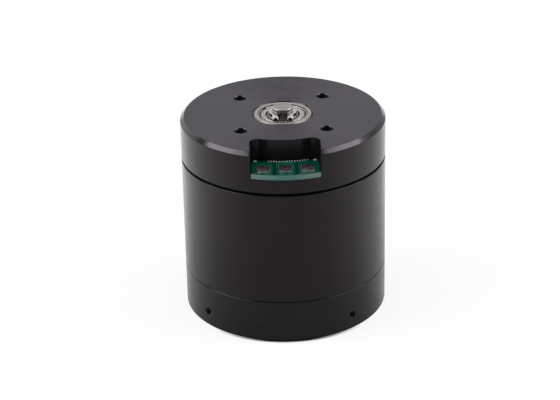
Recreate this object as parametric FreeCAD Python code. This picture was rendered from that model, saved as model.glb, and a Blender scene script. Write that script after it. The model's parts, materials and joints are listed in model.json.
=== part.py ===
"""Underwater brushless outrunner motor, standing on the end face of its rotor.

The fixed base is on top: a turned plate with a bearing tube that carries the wound core. The can,
the magnets, the end bell and the shaft turn round it. Millimetres, +Z up along the shaft, origin in the
middle of the rotor's end face, wiring notch to the front, which is -Y.
"""

import FreeCAD, Part
import math
import os
from FreeCAD import Vector

# Overall sizes
motor_diameter = 59.0
bell_height = 12.7
can_length = 33.0
running_gap = 0.6
base_height = 12.1
base_chamfer = 1.15
edge_break = 0.3

# Fixed base
skirt_wall = 4.0
notch_width = 19.7
notch_reach = 9.9
notch_corner_radius = 2.2
notch_depth = 7.9
notch_floor = 1.2
bolt_circle = 34.2
bolt_count = 4
bolt_tap_diameter = 2.5
bolt_sink_diameter = 3.4
bolt_depth = 7.5
drill_point_angle = 118.0
tube_wall = 2.0
tube_shoulder = 1.2
tube_overhang = 3.5
bearing_shoulder = 1.0
upper_bearing_recess = 0.05
lower_bearing_recess = 0.25

# Terminal board in the notch
board_thickness = 1.6
board_clearance = 0.15
pad_width = 3.7
pad_length = 4.7
pad_thickness = 0.1
pad_side_margin = 1.8
pad_front_margin = 2.4
pad_corner_radius = 0.4
pin_diameter = 1.1
pin_edge_distance = 0.75
pin_stand = 0.15
lead_count = 18
lead_diameter = 0.36
lead_row_margin = 4.3
lead_wall_distance = 0.75
lead_row_turn = 2.5
lead_stand = 0.12
lead_tail = 0.8
lead_slot_wall = 0.15
fit_clearance = 0.03

# Shielded ball bearings
bearing_bore = 6.0
bearing_diameter = 17.0
bearing_width = 6.0
ball_diameter = 3.0
ball_count = 7
ball_clearance = 0.05
race_depth = 0.3
race_edge = 0.25
shield_sheet = 0.25
shield_gap = 0.23
shield_seat_depth = 1.15
shield_seat_step = 0.2
shield_rim = 0.65
shield_crown = 0.45
shield_slope = 0.25
snap_wire = 0.34
snap_gap_angle = 14.0
snap_gap_place = 146.0
seat_clearance = 0.05
cage_half_width = 0.35
cage_back = 0.5
cage_pocket_clearance = 0.08
cage_finger = 0.9
spring_sheet = 0.3
spring_height = 0.6
spring_rim_clearance = 0.1
spring_width = 1.1

# Wound core
slot_count = 12
magnet_air_gap = 0.6
yoke_wall = 2.4
tooth_width = 3.6
tooth_tip = 1.2
tooth_flare = 0.9
slot_opening = 1.8
stack_recess = 1.0
liner_wall = 0.4
liner_end = 0.8
liner_corner = 0.75
fence_wall = 0.8
fence_height = 4.0
fence_width = 7.2
coil_clearance = 0.05
coil_gap = 0.3
coil_root_gap = 0.35
coil_head_inner = 1.5
coil_head_outer = 3.0
coil_outer_corner = 1.4
phase_names = "uvw"

# Rotor
can_wall = 2.5
can_edge = 0.1
pole_count = 14
magnet_thickness = 2.6
magnet_spacing = 3.5
magnet_top_recess = 2.2
magnet_end_gap = 0.3
spigot_height = 4.0
spigot_wall = 2.0
bell_floor = 8.5
bell_seam_chamfer = 0.35
bell_rim_chamfer = 0.5
bell_hub_diameter = 12.0
bell_hub_gap = 1.5
bell_collar_wall = 1.2
hub_screw_count = 4
hub_screw_tap_diameter = 2.1
hub_screw_sink_diameter = 2.4
hub_screw_depth = 7.0
hub_screw_height = 4.4
rotor_rest_turn = -6.0
shaft_stand = 2.05
shaft_chamfer = 0.4
shaft_end_recess = 0.4

# Retaining ring on the shaft
clip_thickness = 0.7
clip_groove_depth = 0.15
clip_play = 0.05
clip_width = 1.25
clip_lug_radius = 0.8
clip_lug_reach = 2.1
clip_lug_offset = 1.9
clip_hole_diameter = 1.0
clip_turn = -1.0

# Cutters run past the faces that they open by this much
overrun = 1.0

# Heights, from the floor up
z_can_low = bell_height
z_can_high = z_can_low + can_length
z_base_low = z_can_high + running_gap
z_top = z_base_low + base_height
z_notch = z_top - notch_depth
z_ceiling = z_notch - notch_floor
z_board_top = z_notch + board_thickness
z_upper_bearing = z_top - upper_bearing_recess - bearing_width
z_magnet_low = z_can_low + spigot_height + magnet_end_gap
z_magnet_high = z_can_high - magnet_top_recess
z_stack_low = z_magnet_low + stack_recess
z_stack_high = z_magnet_high - stack_recess
z_stack_middle = (z_stack_low + z_stack_high) / 2
z_tube_low = z_stack_low - tube_overhang
z_lower_bearing = z_tube_low + lower_bearing_recess
z_shaft_top = z_top + shaft_stand
z_clip = z_upper_bearing + bearing_width + clip_play

# Radii
r_motor = motor_diameter / 2
r_shaft = bearing_bore / 2
r_bearing = bearing_diameter / 2
r_pitch = (r_shaft + r_bearing) / 2
r_ball = ball_diameter / 2
r_inner_land = r_pitch - r_ball + race_depth
r_outer_land = r_pitch + r_ball - race_depth
r_tube = r_bearing + tube_wall
r_can_inner = r_motor - can_wall
r_magnet_inner = r_can_inner - magnet_thickness
r_core = r_magnet_inner - magnet_air_gap
r_yoke = r_tube + yoke_wall
r_tooth_end = r_core - tooth_tip - tooth_flare
r_notch_back = r_motor - notch_reach
r_lead_row = r_notch_back + lead_wall_distance
lead_step = math.degrees((notch_width - 2 * lead_row_margin) / (lead_count - 1) / r_lead_row)
half_stack = (z_stack_high - z_stack_low) / 2
half_liner = tooth_width / 2 + liner_wall

UP = Vector(0, 0, 1)
ORIGIN = Vector(0, 0, 0)


def revolve(points, degrees=360):
    """Solid of revolution about the shaft axis from (radius, height) corners."""
    corners = [Vector(radius, 0, height) for radius, height in points]
    outline = Part.makePolygon(corners + corners[:1])
    return Part.Face(outline).revolve(ORIGIN, UP, degrees)


def tube(r_inner, r_outer, z_low, z_high):
    """Plain ring about the shaft axis."""
    return revolve([(r_inner, z_low), (r_outer, z_low), (r_outer, z_high), (r_inner, z_high)])


def turned(shape, degrees):
    """Copy of a shape turned about the shaft axis."""
    copy = shape.copy()
    copy.rotate(ORIGIN, UP, degrees)
    return copy


def around(shape, count, start=0.0):
    """Copies of a shape spaced evenly about the shaft axis."""
    return [turned(shape, start + 360.0 * i / count) for i in range(count)]


def block(x_range, y_range, z_range):
    """Box between two limits on each axis."""
    low, high = zip(x_range, y_range, z_range)
    size = [b - a for a, b in zip(low, high)]
    return Part.makeBox(*size, Vector(*low))


def line(a, b):
    return Part.LineSegment(a, b).toShape()


def arc(a, b, c):
    return Part.Arc(a, b, c).toShape()


def mirrored(point):
    """The same point on the other side of the notch."""
    return Vector(-point.x, point.y, point.z)


def drill(mouth, outward, tap_diameter, depth, sink_diameter):
    """Cutter for a blind tapped hole with a countersunk mouth and a drill point."""
    r_tap = tap_diameter / 2
    r_sink = sink_diameter / 2
    point = r_tap / math.tan(math.radians(drill_point_angle / 2))
    cutter = revolve([
        (0, overrun),
        (r_sink + overrun, overrun),
        (r_tap, r_tap - r_sink),
        (r_tap, -depth),
        (0, -depth - point),
    ])
    cutter.Placement = FreeCAD.Placement(mouth, FreeCAD.Rotation(UP, outward))
    return cutter


def notch_corner(half_width, r_back, r_corner):
    """Centre of the round corner between the notch's right side and its back wall."""
    x = half_width - r_corner
    return Vector(x, -math.sqrt((r_back + r_corner) ** 2 - x ** 2), 0)


def corner_direction(corner):
    """From a corner's centre to the middle of its round."""
    return (Vector(1, 0, 0) - corner * (1 / corner.Length)).normalize()


def notch_face(half_width, r_back, r_corner, r_front):
    """Plan of the notch: parallel sides, a back wall and a front edge round the axis, round corners."""
    corner = notch_corner(half_width, r_back, r_corner)
    side = Vector(half_width, corner.y, 0)
    back = corner * (r_back / corner.Length)
    middle = corner + corner_direction(corner) * r_corner
    front = Vector(half_width, -math.sqrt(r_front ** 2 - half_width ** 2), 0)
    outline = Part.Wire([
        line(front, side),
        arc(side, middle, back),
        arc(back, Vector(0, -r_back, 0), mirrored(back)),
        arc(mirrored(back), mirrored(middle), mirrored(side)),
        line(mirrored(side), mirrored(front)),
        arc(mirrored(front), Vector(0, -r_front, 0), front),
    ])
    return Part.Face(outline)


def lifted(face, z_low, z_high):
    """A plan face made into a solid between two heights."""
    return face.translated(Vector(0, 0, z_low)).extrude(Vector(0, 0, z_high - z_low))


def lead_places():
    """Plan places of the winding strands, in a row along the notch's back wall."""
    first = -90 + lead_row_turn - lead_step * (lead_count - 1) / 2
    angles = [math.radians(first + lead_step * i) for i in range(lead_count)]
    return [Vector(r_lead_row * math.cos(a), r_lead_row * math.sin(a), 0) for a in angles]


def pin_places():
    """Plan places of the two pins that hold the board, one in each back corner."""
    corner = notch_corner(notch_width / 2, r_notch_back, notch_corner_radius)
    reach = notch_corner_radius - board_clearance - pin_edge_distance
    place = corner + corner_direction(corner) * reach
    return [place, mirrored(place)]


def rods(places, radius, z_low, z_high):
    """Upright round rods at the given places."""
    return [Part.makeCylinder(radius, z_high - z_low, place + UP * z_low) for place in places]


def lead_slot():
    """Opening in the notch floor that the winding strands come up through."""
    span = lead_step * (lead_count + 1)
    r_inner = r_notch_back + lead_slot_wall
    r_outer = 2 * r_lead_row - r_inner
    slot = revolve([
        (r_inner, z_ceiling - overrun),
        (r_outer, z_ceiling - overrun),
        (r_outer, z_notch + overrun),
        (r_inner, z_notch + overrun),
    ], span)
    return turned(slot, -90 + lead_row_turn - span / 2)


def stator_base():
    """Fixed top plate with its skirt, bearing tube, wiring notch and mounting holes."""
    r_skirt = r_motor - skirt_wall
    r_bore = r_bearing - bearing_shoulder
    z_lower_stop = z_lower_bearing + bearing_width + spring_height
    base = revolve([
        (r_bearing + edge_break, z_top),
        (r_motor - base_chamfer, z_top),
        (r_motor, z_top - base_chamfer),
        (r_motor, z_base_low + edge_break),
        (r_motor - edge_break, z_base_low),
        (r_skirt, z_base_low),
        (r_skirt, z_ceiling),
        (r_tube + tube_shoulder, z_ceiling),
        (r_tube + tube_shoulder, z_stack_high),
        (r_tube, z_stack_high),
        (r_tube, z_tube_low),
        (r_bearing, z_tube_low),
        (r_bearing, z_lower_stop),
        (r_bore, z_lower_stop),
        (r_bore, z_upper_bearing),
        (r_bearing, z_upper_bearing),
        (r_bearing, z_top - edge_break),
    ])
    notch = notch_face(notch_width / 2, r_notch_back, notch_corner_radius, r_motor + overrun)
    cutters = [lifted(notch, z_notch, z_top + overrun), lead_slot()]
    cutters += rods(pin_places(), pin_diameter / 2, z_ceiling - overrun, z_notch + overrun)
    for i in range(bolt_count):
        angle = math.radians(360 * (i + 0.5) / bolt_count)
        mouth = Vector(math.cos(angle), math.sin(angle), 0) * (bolt_circle / 2) + UP * z_top
        cutters.append(drill(mouth, UP, bolt_tap_diameter, bolt_depth, bolt_sink_diameter))
    return base.cut(cutters)


def terminal_board():
    """Board that lies on the notch floor, with holes for the winding strands and the pins."""
    plan = notch_face(
        notch_width / 2 - board_clearance,
        r_notch_back + board_clearance,
        notch_corner_radius - board_clearance,
        r_motor - board_clearance,
    )
    z_low, z_high = z_notch - overrun, z_board_top + overrun
    holes = rods(lead_places(), lead_diameter / 2 + fit_clearance, z_low, z_high)
    holes += rods(pin_places(), pin_diameter / 2 + fit_clearance, z_low, z_high)
    return lifted(plan, z_notch, z_board_top).cut(holes)


def phase_pads():
    """One tinned pad for each phase wire."""
    y_low = pad_front_margin - r_motor
    x_last = (notch_width - pad_width) / 2 - pad_side_margin
    pads = []
    for i in range(len(phase_names)):
        x = (2 * i / (len(phase_names) - 1) - 1) * x_last
        pad = block(
            (x - pad_width / 2, x + pad_width / 2),
            (y_low, y_low + pad_length),
            (z_board_top, z_board_top + pad_thickness),
        )
        upright = [e for e in pad.Edges if abs(e.tangentAt(e.FirstParameter).z) > 0.5]
        pads.append(pad.makeFillet(pad_corner_radius, upright))
    return pads


def board_pins():
    """Two pins that hold the board down on the notch floor."""
    return rods(pin_places(), pin_diameter / 2, z_ceiling, z_board_top + pin_stand)


def phase_leads():
    """Winding strands that come up through the floor and end in the board's row of holes."""
    return rods(lead_places(), lead_diameter / 2, z_ceiling - lead_tail, z_board_top + lead_stand)


def raceway(z_low):
    """Cutter for the ball track of the bearing that starts at a height."""
    middle = Vector(0, 0, z_low + bearing_width / 2)
    return Part.makeTorus(r_pitch, r_ball + ball_clearance, middle)


def outer_ring(z_low):
    """Outer bearing ring, stepped at both faces to seat the shields."""
    z_high = z_low + bearing_width
    r_seat = r_outer_land + shield_seat_step
    ring = revolve([
        (r_bearing, z_low + race_edge),
        (r_bearing, z_high - race_edge),
        (r_bearing - race_edge, z_high),
        (r_seat, z_high),
        (r_seat, z_high - shield_seat_depth),
        (r_outer_land, z_high - shield_seat_depth),
        (r_outer_land, z_low + shield_seat_depth),
        (r_seat, z_low + shield_seat_depth),
        (r_seat, z_low),
        (r_bearing - race_edge, z_low),
    ])
    return ring.cut(raceway(z_low))


def inner_ring(z_low):
    """Inner bearing ring on the shaft."""
    z_high = z_low + bearing_width
    ring = revolve([
        (r_shaft, z_low + race_edge),
        (r_shaft + race_edge, z_low),
        (r_inner_land - race_edge, z_low),
        (r_inner_land, z_low + race_edge),
        (r_inner_land, z_high - race_edge),
        (r_inner_land - race_edge, z_high),
        (r_shaft + race_edge, z_high),
        (r_shaft, z_high - race_edge),
    ])
    return ring.cut(raceway(z_low))


def balls(z_low):
    """Full set of balls in one bearing."""
    ball = Part.makeSphere(r_ball, Vector(r_pitch, 0, z_low + bearing_width / 2))
    return around(ball, ball_count)


def cage(z_low):
    """Crown cage: a ring under the balls with fingers that reach up between them."""
    middle = z_low + bearing_width / 2
    r_pocket = r_ball + cage_pocket_clearance
    ring = tube(
        r_pitch - cage_half_width,
        r_pitch + cage_half_width,
        middle - r_pocket - cage_back,
        middle + cage_finger,
    )
    mouth = Vector(r_pitch - cage_half_width - overrun, 0, middle)
    pocket = Part.makeCylinder(r_pocket, 2 * (cage_half_width + overrun), mouth, Vector(1, 0, 0))
    return ring.cut(around(pocket, ball_count))


def shield_profile():
    """(radius, depth below the bearing face) corners of a shield: a flat rim and a raised crown."""
    rim_out = r_outer_land + shield_seat_step - seat_clearance
    rim_in = rim_out - shield_rim
    crown_out = rim_in - shield_slope
    crown_in = r_inner_land + shield_gap
    deep, shallow = shield_seat_depth, shield_seat_depth - shield_crown
    return [
        (rim_out, deep),
        (rim_out, deep - shield_sheet),
        (rim_in, deep - shield_sheet),
        (crown_out, shallow - shield_sheet),
        (crown_in, shallow - shield_sheet),
        (crown_in, shallow),
        (crown_out - shield_sheet / 2, shallow),
        (rim_in - shield_sheet / 2, deep),
    ]


def both_faces(z_low, build):
    """A piece made at both faces of a bearing. build takes a face's height and its way out, 1 or -1."""
    return [build(z_low + bearing_width, 1), build(z_low, -1)]


def shields(z_low):
    """Sheet-metal shields of one bearing, one for each face."""
    def shield(z_face, way):
        return revolve([(radius, z_face - way * depth) for radius, depth in shield_profile()])
    return both_faces(z_low, shield)


def snap_rings(z_low):
    """Open spring rings that hold the shields in."""
    r_outer = r_outer_land + shield_seat_step - seat_clearance
    r_inner = r_outer - snap_wire
    deep = shield_seat_depth - shield_sheet
    section = [(r_inner, deep), (r_outer, deep), (r_outer, deep - snap_wire), (r_inner, deep - snap_wire)]

    def snap_ring(z_face, way):
        corners = [(radius, z_face - way * depth) for radius, depth in section]
        ring = revolve(corners, 360 - snap_gap_angle)
        return turned(ring, snap_gap_place + snap_gap_angle / 2)
    return both_faces(z_low, snap_ring)


def preload_spring():
    """Conical spring washer between the lower bearing and its shoulder in the tube."""
    z_low = z_lower_bearing + bearing_width
    r_outer = r_bearing - spring_rim_clearance
    r_inner = r_outer - spring_width
    rise = spring_height - spring_sheet
    return revolve([
        (r_inner, z_low),
        (r_outer, z_low + rise),
        (r_outer, z_low + spring_height),
        (r_inner, z_low + spring_sheet),
    ])


def tooth():
    """One tooth of the core along +X, with a flared tip."""
    half = tooth_width / 2
    r_flare = r_core - tooth_tip
    tip_half_angle = math.pi / slot_count - slot_opening / 2 / r_core
    tip = Vector(r_core * math.cos(tip_half_angle), r_core * math.sin(tip_half_angle), 0)
    flare = tip * (r_flare / r_core)
    root = Vector(r_tube + yoke_wall / 2, half, 0)
    shank = Vector(r_tooth_end, half, 0)

    def across(point):
        return Vector(point.x, -point.y, 0)
    outline = Part.Wire([
        line(across(root), across(shank)),
        line(across(shank), across(flare)),
        line(across(flare), across(tip)),
        arc(across(tip), Vector(r_core, 0, 0), tip),
        line(tip, flare),
        line(flare, shank),
        line(shank, root),
        line(root, across(root)),
    ])
    return lifted(Part.Face(outline), z_stack_low, z_stack_high)


def stator_core():
    """Laminated core pressed on the tube against its shoulder."""
    yoke = tube(r_tube, r_yoke, z_stack_low, z_stack_high)
    return yoke.fuse(around(tooth(), slot_count)).removeSplitter()


def rounded_frame(u, half_width, half_height, radius):
    """Rounded rectangle across a tooth at distance u from the axis, as a wire."""
    centres = [(-1, -1), (1, -1), (1, 1), (-1, 1)]
    arcs = []
    for i, (sy, sz) in enumerate(centres):
        middle = Vector(u, sy * (half_width - radius), z_stack_middle + sz * (half_height - radius))
        angles = [math.radians(180 + 90 * i + 45 * step) for step in range(3)]
        points = [middle + Vector(0, math.cos(a), math.sin(a)) * radius for a in angles]
        arcs.append((points, arc(*points)))
    edges = []
    for i, (points, edge) in enumerate(arcs):
        following = arcs[(i + 1) % len(arcs)][0]
        edges += [edge, line(points[2], following[0])]
    return Part.Wire(edges)


def insulator(z_end, way, r_plate):
    """Moulded liner over one half of the core: end plate, tooth sleeves and coil fences."""
    half = tooth_width / 2
    r_sleeve = r_yoke - liner_wall
    end = sorted((z_end, z_end + way * liner_end))
    side = sorted((z_stack_middle, z_end))
    outside = rounded_frame(r_sleeve, half_liner, half_stack + liner_end, liner_corner)
    sleeve = Part.Face(outside).extrude(Vector(r_tooth_end - r_sleeve, 0, 0))
    this_half = block(
        (0, r_core),
        (-half_liner - overrun, half_liner + overrun),
        sorted((z_stack_middle, z_end + way * (liner_end + overrun))),
    )
    shank = block((0, r_core), (-half, half), side)
    yoke = tube(0, r_yoke + coil_clearance, *side)
    fence = block(
        (r_tooth_end - fence_wall, r_tooth_end),
        (-fence_width / 2, fence_width / 2),
        sorted((z_end, z_end + way * fence_height)),
    )
    plate = tube(r_plate + coil_clearance, r_yoke, *end)
    one_tooth = sleeve.common(this_half).cut([shank, yoke]).fuse(fence)
    return plate.fuse(around(one_tooth, slot_count)).removeSplitter()


def coil():
    """Winding on the tooth along +X, thicker towards the tip where the slot is wider."""
    u_inner = r_yoke + coil_root_gap
    u_outer = r_tooth_end - fence_wall - coil_clearance
    half_hole_width = half_liner + coil_clearance
    half_hole_height = half_stack + liner_end + coil_clearance
    slope = math.tan(math.pi / slot_count)
    gap = coil_gap / 2 / math.cos(math.pi / slot_count)
    frames = []
    for u, head in ((u_inner, coil_head_inner), (u_outer, coil_head_outer)):
        frames.append(rounded_frame(u, u * slope - gap, half_hole_height + head, coil_outer_corner))
    body = Part.makeLoft(frames, True, True)
    hole_corner = liner_corner + coil_clearance
    hole = rounded_frame(u_inner - overrun, half_hole_width, half_hole_height, hole_corner)
    return body.cut(Part.Face(hole).extrude(Vector(u_outer - u_inner + 2 * overrun, 0, 0)))


def phase_coils(phase):
    """Coils of one phase: two neighbouring teeth and the two across from them."""
    pitch = 360.0 / slot_count
    pairs = slot_count // (2 * len(phase_names))
    teeth = []
    for first in (phase * pairs, phase * pairs + slot_count // 2):
        teeth += [first + i for i in range(pairs)]
    return [turned(coil(), pitch * i) for i in teeth]


def rotor_can():
    """Steel can that closes the magnets' flux."""
    return revolve([
        (r_can_inner, z_can_low),
        (r_motor, z_can_low),
        (r_motor, z_can_high - can_edge),
        (r_motor - can_edge, z_can_high),
        (r_can_inner + can_edge, z_can_high),
        (r_can_inner, z_can_high - can_edge),
    ])


def magnets():
    """Curved magnets bonded inside the can."""
    span = 360.0 / pole_count - magnet_spacing
    magnet = revolve([
        (r_magnet_inner, z_magnet_low),
        (r_can_inner, z_magnet_low),
        (r_can_inner, z_magnet_high),
        (r_magnet_inner, z_magnet_high),
    ], span)
    return around(magnet, pole_count, rotor_rest_turn - span / 2)


def end_bell():
    """Closed end of the rotor: rim, spigot inside the can, and the hub that holds the shaft."""
    r_spigot = r_can_inner - spigot_wall
    r_collar = r_shaft + bell_collar_wall
    z_hub = z_tube_low - bell_hub_gap
    bell = revolve([
        (r_shaft, 0),
        (r_motor - bell_rim_chamfer, 0),
        (r_motor, bell_rim_chamfer),
        (r_motor, bell_height - bell_seam_chamfer),
        (r_motor - bell_seam_chamfer, bell_height),
        (r_can_inner, bell_height),
        (r_can_inner, bell_height + spigot_height),
        (r_spigot, bell_height + spigot_height),
        (r_spigot, bell_floor),
        (bell_hub_diameter / 2, bell_floor),
        (bell_hub_diameter / 2, z_hub),
        (r_collar, z_hub),
        (r_collar, z_lower_bearing),
        (r_shaft, z_lower_bearing),
    ])
    cutters = []
    for i in range(hub_screw_count):
        angle = math.radians(360 * (i + 0.5) / hub_screw_count + rotor_rest_turn)
        outward = Vector(math.cos(angle), math.sin(angle), 0)
        mouth = outward * r_motor + UP * hub_screw_height
        sizes = (hub_screw_tap_diameter, hub_screw_depth, hub_screw_sink_diameter)
        cutters.append(drill(mouth, outward, *sizes))
    return bell.cut(cutters)


def shaft():
    """Ground shaft, grooved for the retaining ring at its top end."""
    r_groove = r_shaft - clip_groove_depth
    z_groove_high = z_clip + clip_thickness + clip_play
    return revolve([
        (0, shaft_end_recess),
        (r_shaft - shaft_chamfer, shaft_end_recess),
        (r_shaft, shaft_end_recess + shaft_chamfer),
        (r_shaft, z_clip - clip_play),
        (r_groove, z_clip - clip_play),
        (r_groove, z_groove_high),
        (r_shaft, z_groove_high),
        (r_shaft, z_shaft_top - shaft_chamfer),
        (r_shaft - shaft_chamfer, z_shaft_top),
        (0, z_shaft_top),
    ])


def circlip():
    """Open retaining ring with two eyed lugs, in the shaft's groove above the upper bearing."""
    r_inner = r_shaft - clip_groove_depth
    r_ring = r_inner + clip_width
    y_lug = -(r_inner + clip_lug_reach)
    z_range = (z_clip, z_clip + clip_thickness)
    ring = Part.makeCylinder(r_ring, clip_thickness, UP * z_clip)
    lug_places = [Vector(side * clip_lug_offset, y_lug, 0) for side in (-1, 1)]
    lugs = rods(lug_places, clip_lug_radius, *z_range)
    necks = [
        block((place.x - clip_lug_radius, place.x + clip_lug_radius), (y_lug, 0), z_range)
        for place in lug_places
    ]
    half_gap = clip_lug_offset - clip_lug_radius
    through = (z_clip - overrun, z_clip + clip_thickness + overrun)
    cutters = rods([ORIGIN], r_inner, *through)
    cutters += rods(lug_places, clip_hole_diameter / 2, *through)
    cutters.append(block((-half_gap, half_gap), (y_lug - 2 * clip_lug_radius, 0), through))
    clip = ring.fuse(lugs + necks).removeSplitter().cut(cutters)
    return turned(clip, clip_turn)


def bearing_nodes(name, z_low):
    """All the pieces of one bearing, by node name."""
    return {
        name + "_bearing_outer_ring": outer_ring(z_low),
        name + "_bearing_inner_ring": inner_ring(z_low),
        name + "_bearing_balls": balls(z_low),
        name + "_bearing_cage": cage(z_low),
        name + "_bearing_shields": shields(z_low),
        name + "_bearing_snap_rings": snap_rings(z_low),
    }


def all_nodes():
    """Every sub-part by node name: one solid, or a list of separate solids."""
    nodes = {
        "stator_base": stator_base(),
        "terminal_board": terminal_board(),
        "phase_pads": phase_pads(),
        "board_pins": board_pins(),
        "phase_leads": phase_leads(),
        "stator_core": stator_core(),
        "upper_insulator": insulator(z_stack_high, 1, r_tube + tube_shoulder),
        "lower_insulator": insulator(z_stack_low, -1, r_tube),
        "preload_spring": preload_spring(),
        "rotor_can": rotor_can(),
        "magnets": magnets(),
        "end_bell": end_bell(),
        "shaft": shaft(),
        "circlip": circlip(),
    }
    for phase, letter in enumerate(phase_names):
        nodes["coils_phase_" + letter] = phase_coils(phase)
    nodes.update(bearing_nodes("upper", z_upper_bearing))
    nodes.update(bearing_nodes("lower", z_lower_bearing))
    return nodes


def main():
    os.makedirs("parts", exist_ok=True)
    for name, made in all_nodes().items():
        shape = Part.makeCompound(made) if isinstance(made, list) else made
        shape.exportStep("parts/" + name + ".step")


main()
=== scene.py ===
import json
import random
from math import acos, atan2, copysign, cos, pi, radians, sin, sqrt, tan

import bmesh
import bpy
from mathutils import Matrix, Vector, noise


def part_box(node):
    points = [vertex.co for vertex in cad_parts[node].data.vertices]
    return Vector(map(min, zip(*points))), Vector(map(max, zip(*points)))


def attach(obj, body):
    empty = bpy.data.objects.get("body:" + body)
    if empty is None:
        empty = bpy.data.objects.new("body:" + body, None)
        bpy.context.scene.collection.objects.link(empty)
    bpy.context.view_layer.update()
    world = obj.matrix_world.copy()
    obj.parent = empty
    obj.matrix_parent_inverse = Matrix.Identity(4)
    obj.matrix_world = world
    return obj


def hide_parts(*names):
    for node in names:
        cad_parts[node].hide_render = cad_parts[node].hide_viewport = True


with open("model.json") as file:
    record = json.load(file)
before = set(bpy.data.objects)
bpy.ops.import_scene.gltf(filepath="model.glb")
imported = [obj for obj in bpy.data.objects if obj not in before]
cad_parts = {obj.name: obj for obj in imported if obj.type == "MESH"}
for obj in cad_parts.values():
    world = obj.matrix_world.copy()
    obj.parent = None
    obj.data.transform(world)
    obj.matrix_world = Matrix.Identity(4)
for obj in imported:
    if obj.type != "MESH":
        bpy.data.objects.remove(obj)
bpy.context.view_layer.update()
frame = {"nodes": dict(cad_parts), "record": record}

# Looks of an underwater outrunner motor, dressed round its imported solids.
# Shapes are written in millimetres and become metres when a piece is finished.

MM = 0.001
NIL = 1e-6
TAU = 2 * pi
SIDES = ("upper", "lower")


def heights(node):
    """Lowest and highest z of a solid, in millimetres."""
    return [(corner / MM).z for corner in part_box(node)]


def half_width(node):
    """Farthest x of a solid, in millimetres."""
    return (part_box(node)[1] / MM).x


def mounts(start):
    """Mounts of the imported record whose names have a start."""
    return [mount for mount in frame["record"]["mounts"] if mount["name"].startswith(start)]


# Sizes read from the solids
z_can_low, z_can_high = heights("rotor_can")
z_tube_low, z_top = heights("stator_base")
z_notch, z_board_top = heights("terminal_board")
z_shaft_low, z_shaft_top = heights("shaft")
z_clip_low, z_clip_high = heights("circlip")
z_stack_high = heights("stator_core")[1]
z_lower_stop = heights("preload_spring")[1]
z_lead_low = heights("phase_leads")[0]
z_pin_low = heights("board_pins")[0]
r_motor = half_width("rotor_can")
half_board = half_width("terminal_board")
r_can_inner = half_width("magnets")
r_bearing = half_width("upper_bearing_outer_ring")
r_inner_land = half_width("upper_bearing_inner_ring")
r_shaft = half_width("shaft")
bearing_low = {side: heights(side + "_bearing_outer_ring")[0] for side in SIDES}
bearing_width = heights("upper_bearing_outer_ring")[1] - bearing_low["upper"]

# Sizes of the fixed base
running_gap = 0.6
base_chamfer = 1.15
base_edge = 0.3
skirt_wall = 4.0
board_clearance = 0.15
notch_reach = 9.9
notch_corner = 2.2
notch_floor = 1.2
notch_edge = 0.2
front_corner_ease = 0.25
tube_wall = 2.0
tube_shoulder = 1.2
bearing_shoulder = 1.0
seat_edge = 0.45

# Tapped holes in the face and in the bell: countersink and its depth, thread, depth and pitch
FACE_HOLE = {"sink": 3.95, "sink_depth": 1.1, "thread": 3.0, "depth": 7.5, "pitch": 0.5}
BELL_HOLE = {"sink": 2.4, "sink_depth": 0.15, "thread": 2.5, "depth": 7.0, "pitch": 0.45}
sink_rim = 0.2
thread_crest = 0.25
thread_flank = 0.6
drill_point = radians(59)

# Sizes of the terminal board and what is soldered to it
pad_width = 3.7
pad_length = 4.7
pad_corner = 0.4
pad_foot = 0.01
pad_height = 0.06
pad_lump = 0.045
pad_lump_mean = 0.6
pad_shoulder = 0.2
pad_rim = 0.18
pad_rim_height = 0.02
pad_pitch = 6.2
pad_front_margin = 2.4
board_edge_round = 0.13
mask_opening = 0.3
pour_gap = 1.0
pour_edge = 0.45
pour_height = 0.035
pin_radius = 0.48
pin_edge_distance = 0.75
pin_stand = 0.04
pin_dome = 0.11
lead_count = 16
lead_radius = 0.15
lead_row_margin = 4.3
lead_wall_distance = 0.75
lead_row_turn = radians(2.5)
lead_stand = 0.2
lead_stand_range = (0.85, 1.15)
lead_seed = 11
lead_dome = 0.13
lead_slot_wall = 0.15
fit_clearance = 0.03

# Lumps of the solder in two layers: fineness, share, seed and the seed's step from pad to pad
LUMP_LAYERS = ((1.3, 1.0, 0.0, 7.0), (3.1, 0.5, 3.0, 5.0))

# Sizes of the shielded bearings
ball_radius = 1.5
ball_clearance = 0.05
race_depth = 0.3
race_edge = 0.25
ring_corner = 0.32
shield_sheet = 0.25
shield_gap = 0.36
shield_seat_depth = 0.92
shield_seat_step = 0.2
shield_rim = 0.65
shield_crown = 0.45
shield_slope = 0.25
snap_wire = 0.34
snap_gap_angle = radians(14)
snap_gap_place = radians(139)
seat_clearance = 0.05

# Sizes of the rotor
can_edge = 0.1
bell_rim_chamfer = 0.28
bell_seam_chamfer = 0.35
bell_floor = 8.5
bell_hub_radius = 6.0
bell_hub_gap = 1.5
bell_collar_wall = 1.2
spigot_height = 4.0
spigot_wall = 2.0
hub_patch = 2.3
shaft_chamfer = 0.4
clip_groove = 0.15
clip_play = 0.05
clip_width = 1.25
clip_edge = 0.08
clip_lug_radius = 0.88
clip_lug_reach = 2.45
clip_lug_offset = 2.08
clip_hole_radius = 0.58
clip_hole_shift = 0.16
clip_lug_roll = 0.5
clip_roll_power = 2.5
clip_lug_crown = 0.25
clip_crown_rise = 3
clip_turn = radians(-1)

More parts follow.
